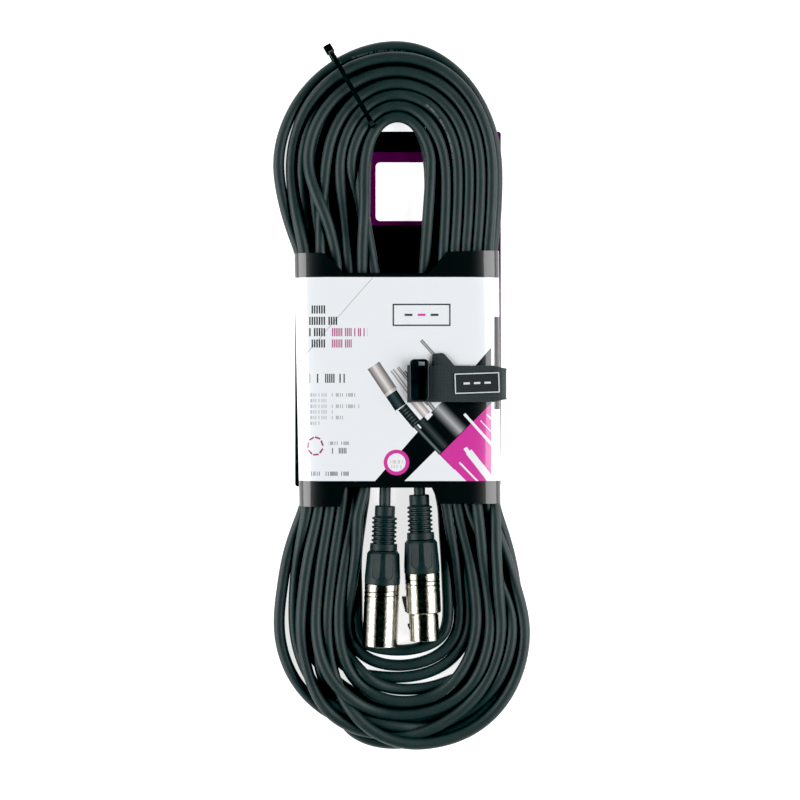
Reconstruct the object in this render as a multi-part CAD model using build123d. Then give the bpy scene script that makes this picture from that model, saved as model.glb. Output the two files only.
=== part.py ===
"""A 10 m XLR microphone cable, wound into a long hank and packed for sale.

The hank lies flat on its back, +Z up and +Y towards its hanging end. The origin is the
middle of the base of the whole object. A printed card with a hang hole lies under the hank,
a card sleeve is wrapped round its middle, a cable tie binds its upper end and a
hook-and-loop tie is strapped round one side. Both connectors lie side by side in the open
middle of the hank, with their mating ends towards -Y.
"""

import math
import os

from build123d import *

# ---- driving dimensions, in millimetres ----

CABLE_D = 6.2
RUNNING_GAP = 0.1

# hank: corners of its outline and of its open middle, rounded as far as the runs allow
HANK_TOP = 15.2
HANK_UPPER_CHAMFER, HANK_LOWER_CHAMFER = 5.0, 6.0
HANK_OUTLINE = [
    (-16.0, 192.0), (16.0, 192.0), (40.0, 178.0), (54.5, 152.0), (56.0, 110.0), (51.6, 76.0),
    (51.0, 10.0), (52.6, -60.0), (61.0, -92.0), (70.5, -118.0), (70.5, -141.0), (61.0, -167.0),
    (42.0, -184.0), (18.0, -192.0), (-18.0, -192.0), (-42.0, -184.0), (-60.0, -165.0),
    (-70.0, -137.0), (-69.6, -108.0), (-58.0, -77.0), (-52.4, -59.0), (-53.9, 10.0),
    (-55.2, 76.0), (-63.5, 91.0), (-70.5, 111.0), (-70.5, 135.0), (-61.0, 161.0), (-40.0, 184.0),
]
WINDOW_OUTLINE = [
    (-19.0, 147.4), (14.8, 147.4), (15.0, 60.0), (15.6, 0.0), (20.3, -62.0), (29.0, -98.0),
    (27.5, -128.0), (12.0, -145.0), (-14.0, -145.0), (-27.0, -136.0), (-30.5, -112.0),
    (-25.0, -88.0), (-18.5, -60.0), (-19.2, 0.0),
]

# back card with the hang hole
CARD_T = 0.5
CARD_LEFT, CARD_RIGHT = -57.3, 55.1
CARD_TOP, CARD_BOTTOM = 143.6, -50.2
HOLE_LEFT, HOLE_RIGHT = -13.3, 19.0
HOLE_TOP, HOLE_BOTTOM = 126.8, 94.8
HOLE_CORNER_R = 2.5

# sleeve: the printed wrap round the middle of the hank
SLEEVE_WALL = 0.5
SLEEVE_BASE, SLEEVE_CROWN = 0.5, 16.2
SLEEVE_R = 7.5
SLEEVE_UPPER_END, SLEEVE_LOWER_END = 78.0, -60.5
SLEEVE_UPPER_SIDES = (-57.3, 53.6)
SLEEVE_LOWER_SIDES = (-54.6, 54.6)
SLEEVE_FRONT = [
    (-60.0, 76.3), (-40.5, 76.3), (-30.1, 65.4), (14.9, 65.4), (25.2, 76.8), (60.0, 77.9),
    (60.0, -58.9), (20.9, -58.9), (17.1, -50.2), (-29.6, -50.2), (-32.3, -60.5), (-60.0, -60.5),
]
HANK_OVER_SLEEVE = 1.5
HANK_OVER_STRAP = 3.0

# hook-and-loop tie
STRAP_T = 1.5
STRAP_W = 19.6
STRAP_Y = 5.7
STRAP_LEFT, STRAP_RIGHT = 4.2, 57.8
STRAP_BASE, STRAP_TOP = 1.1, 17.9
STRAP_RIGHT_R = 8.0
STRAP_LEFT_R = 2.2
STRAP_GAP = 0.3
TONGUE_LENGTH, TONGUE_W, TONGUE_T = 15.0, 12.0, 0.7
TONGUE_POS, TONGUE_ANGLE = (23.0, 15.4), 8.0
BUCKLE_X, BUCKLE_Y = 10.4, 7.7
BUCKLE_L, BUCKLE_W, BUCKLE_T = 10.3, 22.5, 2.6
BUCKLE_SLOT_L, BUCKLE_SLOT_W = 3.2, 19.6
LABEL_X, LABEL_Y = 41.4, 6.1
LABEL_L, LABEL_W, LABEL_T = 24.2, 11.1, 0.3
LABEL_TURN = 2.0

# cable tie round the upper end of the hank
TIE_MIDDLE = (-26.2, 165.2)
TIE_ANGLE = 119.7
TIE_LENGTH, TIE_WALL, TIE_W = 47.0, 1.1, 2.5
TIE_BASE, TIE_CROWN = 0.0, 17.0
TIE_R = 4.0
TIE_HEAD = (5.0, 4.6, 4.4)
TIE_STUB = 2.4

# connectors, measured along their own axis from the mating end
AXIS_Z = 9.7
AXIS_TILT = 2.17
MALE_END = (-10.9, -136.2)
FEMALE_END = (13.3, -133.0)
SHELL_R = 9.5
SHELL_BORE_R = 8.2
MALE_SHELL_L = 33.7
NOSE_R, NOSE_BORE_R, NOSE_L = 8.05, 7.0, 15.0
FEMALE_SHELL_L = 36.5
INSERT_GAP = 0.05
PIN_R, PIN_CIRCLE_R, PIN_TIP = 1.2, 3.97, 1.5
SOCKET_R = 1.55
CONTACT_BEHIND_INSERT = 3.2
CUP_DEPTH = 14.5
REAR_BORE_L = 8.9
BAND_W, BAND_D = 0.7, 0.25
BAND_STARTS = (3.4, 5.7, 8.8)

# latch of the female connector
LATCH_PIVOT_S, LATCH_PIVOT_X = 26.0, 6.9
LATCH_HALF_W = 2.1
LATCH_KNUCKLE_R = 1.2
LATCH_PIN_R = 0.6
LATCH_PRESS = 4.0

# rear end of either connector, measured from the rear end of its shell
BUSHING_L, BUSHING_R_FRONT, BUSHING_R_REAR = 18.0, 9.6, 8.4
THREAD_L, THREAD_R = 6.0, 8.1
FLUTES, FLUTE_W, FLUTE_D = 8, 4.4, 0.55
BOOT_RING = (0.4, 3.8)
BOOT_RIBS = (4.2, 18.5)
BOOT_COLLAR = (18.9, 24.3)
RIB_COUNT, RIB_R, RIB_GROOVE_R = 6, 6.75, 5.75
BOOT_RING_R, BOOT_COLLAR_R = 7.45, 5.45
BOOT_PLUG_R, BOOT_PLUG_L = 4.9, 4.5
CABLE_END = -0.2
CONDUCTOR_R = 0.7
CONDUCTOR_CIRCLE_R = 1.6

# route of each tail past its connector, as far as the hank
MALE_ROUTE = [(-6.1, -12.0), (-11.2, 52.0), (-21.0, 104.0)]
FEMALE_ROUTE = [(9.2, -23.1), (11.0, 40.0), (14.9, 92.0)]
BEND_SHARE = 0.45
POCKET_L, POCKET_W = 52.0, 7.2


# ---- helpers ----

def turned(points):
    """A solid of revolution about Z from (radius, height) points."""
    return revolve(Plane.XZ * make_face(Polyline(*points, close=True)), Axis.Z)


def tube(outer, inner, start, end):
    """A plain ring between two heights."""
    return turned([(inner, start), (outer, start), (outer, end), (inner, end)])


def rod(radius, x, y, start, end):
    """A round bar parallel to Z."""
    return Pos(x, y, (start + end) / 2) * Cylinder(radius, end - start)


def block(x, y, z):
    """A box from its lowest and highest x, y and z."""
    size = [high - low for low, high in (x, y, z)]
    middle = [(high + low) / 2 for low, high in (x, y, z)]
    return Pos(*middle) * Box(*size)


def loop_section(left, right, low, high, corner, left_corner=None):
    """A rounded rectangle in the XZ plane, drawn from lines and tangent arcs."""
    near = corner if left_corner is None else left_corner
    k = math.sqrt(0.5)

    def arc_middle(cx, cz, radius, side_x, side_z):
        return (cx + side_x * radius * k, cz + side_z * radius * k)

    edges = [
        Line((left + near, low), (right - corner, low)),
        ThreePointArc((right - corner, low),
                      arc_middle(right - corner, low + corner, corner, 1, -1),
                      (right, low + corner)),
        Line((right, low + corner), (right, high - corner)),
        ThreePointArc((right, high - corner),
                      arc_middle(right - corner, high - corner, corner, 1, 1),
                      (right - corner, high)),
        Line((right - corner, high), (left + near, high)),
        ThreePointArc((left + near, high),
                      arc_middle(left + near, high - near, near, -1, 1),
                      (left, high - near)),
        Line((left, high - near), (left, low + near)),
        ThreePointArc((left, low + near),
                      arc_middle(left + near, low + near, near, -1, -1),
                      (left + near, low)),
    ]
    return Plane.XZ * make_face(edges)


def connector_plane(end, tilt):
    """Local Z runs back from the mating end, local X to the left and local Y up."""
    t = math.radians(tilt)
    return Plane(
        origin=(end[0], end[1], AXIS_Z),
        x_dir=(-math.cos(t), math.sin(t), 0),
        z_dir=(math.sin(t), math.cos(t), 0),
    )


MALE_PLANE = connector_plane(MALE_END, AXIS_TILT)
FEMALE_PLANE = connector_plane(FEMALE_END, -AXIS_TILT)


def contact_places(first_angle):
    """Where the three contacts stand, as angles of 45, 135 and 270 degrees from the key."""
    return [
        (PIN_CIRCLE_R * math.cos(math.radians(first_angle + a)),
         PIN_CIRCLE_R * math.sin(math.radians(first_angle + a)))
        for a in (0, 90, 225)
    ]


# ---- male connector ----

def banded(shell, rear):
    """Shallow turned bands near the rear end of a shell."""
    for start in BAND_STARTS:
        place = rear - start
        shell -= tube(SHELL_R + 1, SHELL_R - BAND_D, place - BAND_W, place)
    return shell


def male_shell():
    body = turned([
        (SHELL_BORE_R, 0), (SHELL_R - 0.5, 0), (SHELL_R, 0.5),
        (SHELL_R, MALE_SHELL_L), (SHELL_BORE_R, MALE_SHELL_L),
    ])
    return banded(body, MALE_SHELL_L)


def male_insert():
    body = rod(SHELL_BORE_R - INSERT_GAP, 0, 0, CUP_DEPTH, MALE_SHELL_L - REAR_BORE_L)
    for x, y in contact_places(45):
        body -= rod(PIN_R, x, y, CUP_DEPTH - 1, MALE_SHELL_L)
    return body


def male_pin(x, y):
    end = MALE_SHELL_L - REAR_BORE_L + CONTACT_BEHIND_INSERT
    tip = Pos(x, y, PIN_TIP) * Cone(PIN_R - 0.5, PIN_R, 1.0,
                                    align=(Align.CENTER, Align.CENTER, Align.MIN))
    return tip + rod(PIN_R, x, y, PIN_TIP + 1.0, end)


# ---- female connector ----

def female_shell():
    body = turned([
        (NOSE_BORE_R, 0.6), (NOSE_BORE_R + 0.5, 0), (NOSE_R - 0.3, 0), (NOSE_R, 0.3),
        (NOSE_R, NOSE_L - 1.0), (NOSE_R - 0.4, NOSE_L - 0.9), (NOSE_R - 0.4, NOSE_L),
        (SHELL_R - 0.4, NOSE_L), (SHELL_R, NOSE_L + 0.4), (SHELL_R, FEMALE_SHELL_L),
        (SHELL_BORE_R, FEMALE_SHELL_L), (SHELL_BORE_R, NOSE_L + 0.8), (NOSE_BORE_R, NOSE_L + 0.8),
    ])
    body = banded(body, FEMALE_SHELL_L)
    tooth_slot = block((NOSE_BORE_R - 2, SHELL_R + 2), (-2.5, 2.5), (4.4, NOSE_L + 1.5))
    tab_slot = block((NOSE_BORE_R - 2, SHELL_R + 2), (-3.1, 3.1), (NOSE_L, 27.5))
    return body - tooth_slot - tab_slot


def female_insert():
    rear = FEMALE_SHELL_L - REAR_BORE_L
    body = rod(NOSE_BORE_R - INSERT_GAP, 0, 0, 0.9, NOSE_L + 1)
    body += rod(SHELL_BORE_R - INSERT_GAP, 0, 0, NOSE_L + 0.9, rear)
    body -= block((4.45, 10), (-2.45, 2.45), (3.4, rear + 1))
    body -= block((7.2, 10), (-3.3, 3.3), (NOSE_L, 25.3))
    for x, y in contact_places(-45):
        body -= rod(SOCKET_R, x, y, 2.0, rear + 1)
        body -= rod(PIN_R + 0.1, x, y, 0, 3)
    body -= latch_pin()
    return body


def socket_contact(x, y):
    end = FEMALE_SHELL_L - REAR_BORE_L + CONTACT_BEHIND_INSERT
    body = rod(SOCKET_R, x, y, 2.0, end)
    return body - rod(PIN_R + 0.05, x, y, 1.0, 14.0)


def across(radius, half_width):
    """A round bar through the latch pivot, parallel to local Y."""
    return Pos(LATCH_PIVOT_X, 0, LATCH_PIVOT_S) * Rot(90, 0, 0) * Cylinder(radius, 2 * half_width)


def latch_pin():
    return across(LATCH_PIN_R, 3.2)


def female_latch():
    """A lever with a thumb tab and a tooth, hinged at its rear end."""
    side = [
        (6.3, 4.9), (7.7, 4.9), (7.9, 6.0), (8.9, 8.6), (8.9, 9.4), (7.9, 9.6), (7.9, 15.6),
        (9.9, 15.9), (11.5, 23.6), (11.3, 24.4), (7.9, 24.4), (7.9, 25.6), (6.3, 25.6),
    ]
    lever = extrude(Plane.XZ * make_face(Polyline(*side, close=True)), LATCH_HALF_W, both=True)
    tab = block((7.9, 11.6), (-2.9, 2.9), (15.3, 24.5))
    tab_side = [(7.9, 15.6), (9.9, 15.9), (11.5, 23.6), (11.3, 24.4), (7.9, 24.4)]
    wide = extrude(Plane.XZ * make_face(Polyline(*tab_side, close=True)), 2.8, both=True)
    lever += wide & tab
    for groove in range(5):
        s = 17.2 + 1.4 * groove
        x = 9.9 + (s - 15.9) * 1.6 / 7.7
        lever -= Pos(x + 0.25, 0, s) * Rot(90, 0, 0) * Cylinder(0.45, 8)
    lever += across(LATCH_KNUCKLE_R, LATCH_HALF_W)
    lever -= across(LATCH_PIN_R + 0.05, 4)
    notch = block((LATCH_PIVOT_X - 1.6, LATCH_PIVOT_X + 1.6), (-0.9, 0.9),
                  (LATCH_PIVOT_S - 1.5, LATCH_PIVOT_S + 1.5))
    return lever - notch


def latch_spring():
    """The closed envelope of a small torsion spring on the latch pin."""
    return across(1.1, 0.75) - across(LATCH_PIN_R + 0.05, 1)


# ---- rear end, the same on both connectors ----

def chuck(rear):
    """The clamp that grips the cable's jacket."""
    front = rear - REAR_BORE_L + 0.2
    throat = rear - 1.7
    grip = CABLE_D / 2 + 0.03
    body = turned([
        (6.2, front), (7.0, front), (7.0, rear - 0.7), (5.2, rear + 12.0),
        (grip, rear + 12.0), (grip, throat), (6.2, throat),
    ])
    for angle in (0, 90):
        slot = block((-9, 9), (-0.4, 0.4), (rear + 3.0, rear + 13.0))
        body -= Rot(0, 0, angle) * slot
    return body


def bushing(rear):
    body = turned([
        (7.2, rear - THREAD_L), (THREAD_R, rear - THREAD_L), (THREAD_R, rear),
        (BUSHING_R_FRONT - 0.3, rear), (BUSHING_R_FRONT, rear + 0.4),
        (BUSHING_R_FRONT, rear + 4.0), (BUSHING_R_REAR + 0.4, rear + BUSHING_L - 1.6),
        (BUSHING_R_REAR - 0.8, rear + BUSHING_L), (BOOT_PLUG_R + 0.05, rear + BUSHING_L),
        (BOOT_PLUG_R + 0.05, rear + 13.0), (5.5, rear + 13.0), (7.2, rear - 0.4),
    ])
    for flute in range(FLUTES):
        angle = (flute + 0.5) * 360 / FLUTES
        radius = BUSHING_R_FRONT - FLUTE_D
        rear_drop = BUSHING_R_FRONT - BUSHING_R_REAR
        start = rear + 5.4
        cut = Pos(radius + 2, 0, start) * Rot(0, 90, 0) * Cylinder(FLUTE_W / 2, 4)
        cut += block((radius, radius + 4), (-FLUTE_W / 2, FLUTE_W / 2), (start, rear + BUSHING_L + 1))
        lean = math.degrees(math.atan2(rear_drop - 0.5, BUSHING_L - 5.4))
        cut = Pos(radius, 0, start) * Rot(0, -lean, 0) * Pos(-radius, 0, -start) * cut
        body -= Rot(0, 0, angle) * cut
    return body


def boot(rear):
    """The ribbed rubber strain relief, with its plug inside the bushing."""
    bore = CABLE_D / 2 + RUNNING_GAP
    base = rear + BUSHING_L
    points = [
        (bore, base - BOOT_PLUG_L), (BOOT_PLUG_R, base - BOOT_PLUG_L),
        (BOOT_PLUG_R, base + BOOT_RING[0]), (BOOT_RING_R, base + BOOT_RING[0]),
        (BOOT_RING_R - 0.1, base + BOOT_RING[1]), (RIB_GROOVE_R, base + BOOT_RING[1] + 0.1),
    ]
    pitch = (BOOT_RIBS[1] - BOOT_RIBS[0]) / RIB_COUNT
    for rib in range(RIB_COUNT):
        s = base + BOOT_RIBS[0] + rib * pitch
        points += [(RIB_GROOVE_R, s + 0.5), (RIB_R, s + 0.95), (RIB_R, s + 1.7), (RIB_GROOVE_R, s + 2.15)]
    points += [
        (RIB_GROOVE_R - 0.5, base + BOOT_COLLAR[0]), (BOOT_COLLAR_R, base + BOOT_COLLAR[0] + 0.3),
        (BOOT_COLLAR_R, base + BOOT_COLLAR[1] - 0.4), (BOOT_COLLAR_R - 0.4, base + BOOT_COLLAR[1]),
        (bore, base + BOOT_COLLAR[1]),
    ]
    return turned(points)


def conductor(place, rear):
    """One insulated wire, from a contact's solder cup to the end of the cable's jacket."""
    start = rear - REAR_BORE_L + CONTACT_BEHIND_INSERT
    share = CONDUCTOR_CIRCLE_R / PIN_CIRCLE_R
    near = Pos(place[0], place[1], start) * Circle(CONDUCTOR_R)
    far = Pos(place[0] * share, place[1] * share, rear + CABLE_END) * Circle(CONDUCTOR_R)
    return loft([near.face(), far.face()])


# ---- cable ----

def bend_radii(corners):
    """The largest radius that each corner's two runs leave room for."""
    radii = []
    for before, corner, after in corners:
        turn = (corner - before).get_angle(after - corner)
        shorter = min((corner - before).length, (after - corner).length)
        radii.append(BEND_SHARE * shorter / math.tan(math.radians(turn) / 2))
    return radii


def tail_path(plane, rear, route):
    """Straight runs joined by arcs as large as the runs allow."""
    start = plane.from_local_coords((0, 0, rear + CABLE_END))
    points = [Vector(*start)] + [Vector(x, y, AXIS_Z) for x, y in route]
    radii = bend_radii(list(zip(points, points[1:], points[2:])))
    print("bend radii", [round(r, 1) for r in radii])
    return FilletPolyline(*points, radius=radii)


def cable_tail(plane, rear, route):
    path = tail_path(plane, rear, route)
    section = Plane(origin=path @ 0, z_dir=path % 0) * Circle(CABLE_D / 2)
    body = sweep(section, path=path)
    expected = math.pi * CABLE_D ** 2 / 4 * path.length
    print("tail", round(path.length, 1), "mm long, volume", round(body.volume), "of", round(expected))
    return body


def tail_pocket(route):
    """Where a tail runs into the hank: a straight channel that ends flush with the tail."""
    (x0, y0), (x1, y1) = route[-2:]
    heading = math.degrees(math.atan2(y1 - y0, x1 - x0))
    height = POCKET_W
    channel = block((-POCKET_L, 0), (-POCKET_W / 2, POCKET_W / 2), (-height / 2, height / 2))
    return Pos(x1, y1, AXIS_Z) * Rot(0, 0, heading) * channel


def rounded_outline(outline):
    """A closed outline of straight runs joined by arcs as large as the runs allow."""
    points = [Vector(x, y) for x, y in outline]
    around = list(zip([points[-1]] + points[:-1], points, points[1:] + points[:1]))
    edges = []
    arcs = []
    for (before, corner, after), radius in zip(around, bend_radii(around)):
        turn = (corner - before).get_angle(after - corner)
        reach = radius * math.tan(math.radians(turn) / 2)
        start = corner + (before - corner).normalized() * reach
        end = corner + (after - corner).normalized() * reach
        inward = ((start + end) * 0.5 - corner).normalized()
        depth = radius / math.cos(math.radians(turn) / 2) - radius
        arcs.append((start, corner + inward * depth, end))
    for arc, following in zip(arcs, arcs[1:] + arcs[:1]):
        edges.append(ThreePointArc(*arc))
        edges.append(Line(arc[2], following[0]))
    return make_face(edges)


def cable_coil(cuts):
    """The closed outer shape of the hank, clear of the card, the sleeve and the ties."""
    body = extrude(rounded_outline(HANK_OUTLINE), HANK_TOP)
    body = chamfer(body.faces().sort_by(Axis.Z)[-1].edges(), HANK_UPPER_CHAMFER)
    body = chamfer(body.faces().sort_by(Axis.Z)[0].edges(), HANK_LOWER_CHAMFER)
    body -= extrude(rounded_outline(WINDOW_OUTLINE), HANK_TOP)
    body -= block((CARD_LEFT - 1, CARD_RIGHT + 1), (CARD_BOTTOM - 1, CARD_TOP + 1), (-1, CARD_T + 0.2))
    sleeve_span = (SLEEVE_LOWER_END - 1, SLEEVE_UPPER_END + 1)
    body -= block((-80, 80), sleeve_span, (-1, HANK_OVER_SLEEVE))
    strap_span = (STRAP_Y - STRAP_W / 2 - 1, STRAP_Y + STRAP_W / 2 + 1)
    body -= block((0, 80), strap_span, (-1, HANK_OVER_STRAP))
    for cut in cuts:
        body -= cut
    return max(body.solids(), key=lambda solid: solid.volume)


# ---- card, sleeve and ties ----

def back_card():
    body = block((CARD_LEFT, CARD_RIGHT), (CARD_BOTTOM, CARD_TOP), (0, CARD_T))
    body = fillet(body.edges().filter_by(Axis.Z), 1.5)
    hole = block((HOLE_LEFT, HOLE_RIGHT), (HOLE_BOTTOM, HOLE_TOP), (-1, CARD_T + 1))
    return body - fillet(hole.edges().filter_by(Axis.Z), HOLE_CORNER_R)


def sleeve_prism(inset):
    """The space inside the sleeve's outer surface, moved in by inset on every side."""
    ends = (
        (SLEEVE_UPPER_END + 2, SLEEVE_UPPER_SIDES),
        (SLEEVE_LOWER_END - 2, SLEEVE_LOWER_SIDES),
    )
    sections = []
    for y, (left, right) in ends:
        section = loop_section(left + inset, right - inset, SLEEVE_BASE + inset,
                               SLEEVE_CROWN - inset, SLEEVE_R - inset)
        sections.append(Pos(0, y, 0) * section)
    return loft(sections, ruled=True)


def card_sleeve(strap_space):
    body = sleeve_prism(0) - sleeve_prism(SLEEVE_WALL)
    front = extrude(make_face(Polyline(*SLEEVE_FRONT, close=True)), 40)
    return (body & front) - strap_space


def strap_ring(gap):
    """The strap's loop, or with a gap the space that it needs in the sleeve and the hank."""
    outer = loop_section(STRAP_LEFT - gap, STRAP_RIGHT + gap, STRAP_BASE - gap, STRAP_TOP + gap,
                         STRAP_RIGHT_R + gap, STRAP_LEFT_R + gap)
    inward = STRAP_T + gap
    inner = loop_section(STRAP_LEFT + inward, STRAP_RIGHT - inward, STRAP_BASE + inward,
                         STRAP_TOP - inward, STRAP_RIGHT_R - inward, max(STRAP_LEFT_R - inward, 0.3))
    half = STRAP_W / 2 + gap
    ring = extrude(outer, half, both=True) - extrude(inner, half, both=True)
    return Pos(0, STRAP_Y, 0) * ring


def tie_strap():
    """The hook-and-loop strap with the end of its tongue showing above it."""
    tongue = Pos(*TONGUE_POS, STRAP_TOP - STRAP_T / 2) * Rot(0, 0, TONGUE_ANGLE) * Box(
        TONGUE_W, TONGUE_LENGTH, TONGUE_T)
    return strap_ring(0) + fillet(tongue.edges().filter_by(Axis.Z), 1.5)


def strap_buckle():
    low = STRAP_TOP + 0.05
    body = Pos(BUCKLE_X, BUCKLE_Y, low + BUCKLE_T / 2) * Box(BUCKLE_L, BUCKLE_W, BUCKLE_T)
    body = fillet(body.edges().filter_by(Axis.Z), 2.4)
    body = fillet(body.faces().sort_by(Axis.Z)[-1].edges(), 0.8)
    slot = Pos(BUCKLE_X + 1.2, BUCKLE_Y, low + BUCKLE_T / 2) * Box(
        BUCKLE_SLOT_L, BUCKLE_SLOT_W, BUCKLE_T + 2)
    return body - slot


def strap_label():
    low = STRAP_TOP + LABEL_T / 2
    plate = Pos(LABEL_X, LABEL_Y, low) * Rot(0, 0, LABEL_TURN) * Box(LABEL_L, LABEL_W, LABEL_T)
    return fillet(plate.edges().filter_by(Axis.Z), 0.8)


def zip_tie(gap=0.0):
    """A cable tie in one piece: its band, its head and the stub of its tail."""
    half = TIE_LENGTH / 2
    outer = loop_section(-half - gap, half + gap, TIE_BASE - gap, TIE_CROWN + gap, TIE_R + gap)
    inward = TIE_WALL + gap
    inner = loop_section(-half + inward, half - inward, TIE_BASE + inward, TIE_CROWN - inward,
                         TIE_R - inward)
    width = TIE_W / 2 + gap
    body = extrude(outer, width, both=True) - extrude(inner, width, both=True)
    if gap == 0:
        long, wide, high = TIE_HEAD
        head_middle = half - TIE_WALL + long / 2
        head = Pos(head_middle, 0, TIE_CROWN * 0.55) * Box(long, wide, high)
        body += fillet(head.edges(), 0.5)
        body += Pos(head_middle, 0, TIE_CROWN * 0.55 + high / 2 + TIE_STUB / 2 - 0.1) * Box(
            TIE_WALL, TIE_W, TIE_STUB)
    return Pos(TIE_MIDDLE[0], TIE_MIDDLE[1], 0) * Rot(0, 0, TIE_ANGLE) * body


# ---- assembly ----

def all_parts():
    parts = {}
    male = MALE_PLANE.location
    female = FEMALE_PLANE.location

    parts["male_shell"] = male * male_shell()
    parts["male_insert"] = male * male_insert()
    for number, (x, y) in enumerate(contact_places(45), 1):
        parts[f"male_pin_{number}"] = male * male_pin(x, y)
    parts["female_shell"] = female * female_shell()
    parts["female_insert"] = female * female_insert()
    for number, (x, y) in enumerate(contact_places(-45), 1):
        parts[f"female_socket_{number}"] = female * socket_contact(x, y)
    parts["female_latch"] = female * female_latch()
    parts["latch_pin"] = female * latch_pin()
    parts["latch_spring"] = female * latch_spring()

    wires = ("shield_wire", "hot_wire", "cold_wire")
    ends = (("male", male, MALE_SHELL_L, 45), ("female", female, FEMALE_SHELL_L, -45))
    for side, place, rear, first_angle in ends:
        parts[f"{side}_chuck"] = place * chuck(rear)
        parts[f"{side}_bushing"] = place * bushing(rear)
        parts[f"{side}_boot"] = place * boot(rear)
        for wire, where in zip(wires, contact_places(first_angle)):
            parts[f"{side}_{wire}"] = place * conductor(where, rear)

    parts["cable_tail_male"] = cable_tail(MALE_PLANE, MALE_SHELL_L, MALE_ROUTE)
    parts["cable_tail_female"] = cable_tail(FEMALE_PLANE, FEMALE_SHELL_L, FEMALE_ROUTE)

    strap_space = strap_ring(STRAP_GAP)
    parts["back_card"] = back_card()
    parts["card_sleeve"] = card_sleeve(strap_space)
    parts["tie_strap"] = tie_strap()
    parts["strap_buckle"] = strap_buckle()
    parts["strap_label"] = strap_label()
    parts["zip_tie"] = zip_tie()

    cuts = [zip_tie(0.2), tail_pocket(MALE_ROUTE), tail_pocket(FEMALE_ROUTE)]
    parts["cable_coil"] = cable_coil(cuts)
    return parts


def main():
    os.makedirs("parts", exist_ok=True)
    for name, shape in all_parts().items():
        export_step(shape, f"parts/{name}.step")


main()
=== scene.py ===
"""The looks of a 10 m XLR microphone cable, wound into a hank and packed for a shop.

The CAD frame gives the connectors, the card, the buckle, the patch and the cable tie. This
script lays the cable's turns, models the printed sleeve and the strap closely, and gives
every piece its material. Lengths are millimetres unless a name or comment says otherwise.
"""

import math

import bpy
import numpy as np
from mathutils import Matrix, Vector


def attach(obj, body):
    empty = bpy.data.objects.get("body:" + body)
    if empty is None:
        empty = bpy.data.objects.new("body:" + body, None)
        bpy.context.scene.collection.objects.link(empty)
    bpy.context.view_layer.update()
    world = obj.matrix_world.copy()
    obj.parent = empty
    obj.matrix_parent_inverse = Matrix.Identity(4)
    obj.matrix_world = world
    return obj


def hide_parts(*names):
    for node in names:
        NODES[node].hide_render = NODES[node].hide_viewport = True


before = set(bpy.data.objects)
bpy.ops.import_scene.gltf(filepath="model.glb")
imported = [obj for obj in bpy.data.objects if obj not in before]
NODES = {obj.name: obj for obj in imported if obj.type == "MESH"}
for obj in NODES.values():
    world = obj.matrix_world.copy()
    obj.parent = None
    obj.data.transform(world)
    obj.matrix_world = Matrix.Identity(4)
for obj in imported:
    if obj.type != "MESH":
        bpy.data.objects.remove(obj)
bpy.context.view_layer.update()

MM = 0.001

# ---- camera ----

CAMERA_PLACE_M = (0.0, -0.003, 1.008)
LENS = 83.0


def add_camera():
    data = bpy.data.cameras.new("camera")
    data.lens = LENS
    data.clip_start = 0.01
    camera = bpy.data.objects.new("camera", data)
    camera.location = CAMERA_PLACE_M
    bpy.context.collection.objects.link(camera)
    bpy.context.scene.camera = camera


# ---- the cable ----

CABLE_R = 3.1
CABLE_D = 2 * CABLE_R
CABLE_LENGTH_M = 10.0

# Route of each tail, in metres: straight out of its connector and into the hank.
MALE_ROUTE = [
    (-0.00963, -0.10272, 0.0097), (-0.0061, -0.0120, 0.0097),
    (-0.0112, 0.0520, 0.0097), (-0.0210, 0.1040, 0.0097),
]
FEMALE_ROUTE = [
    (0.01193, -0.09673, 0.0097), (0.0092, -0.0231, 0.0097),
    (0.0110, 0.0400, 0.0097), (0.0149, 0.0920, 0.0097),
]

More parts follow.
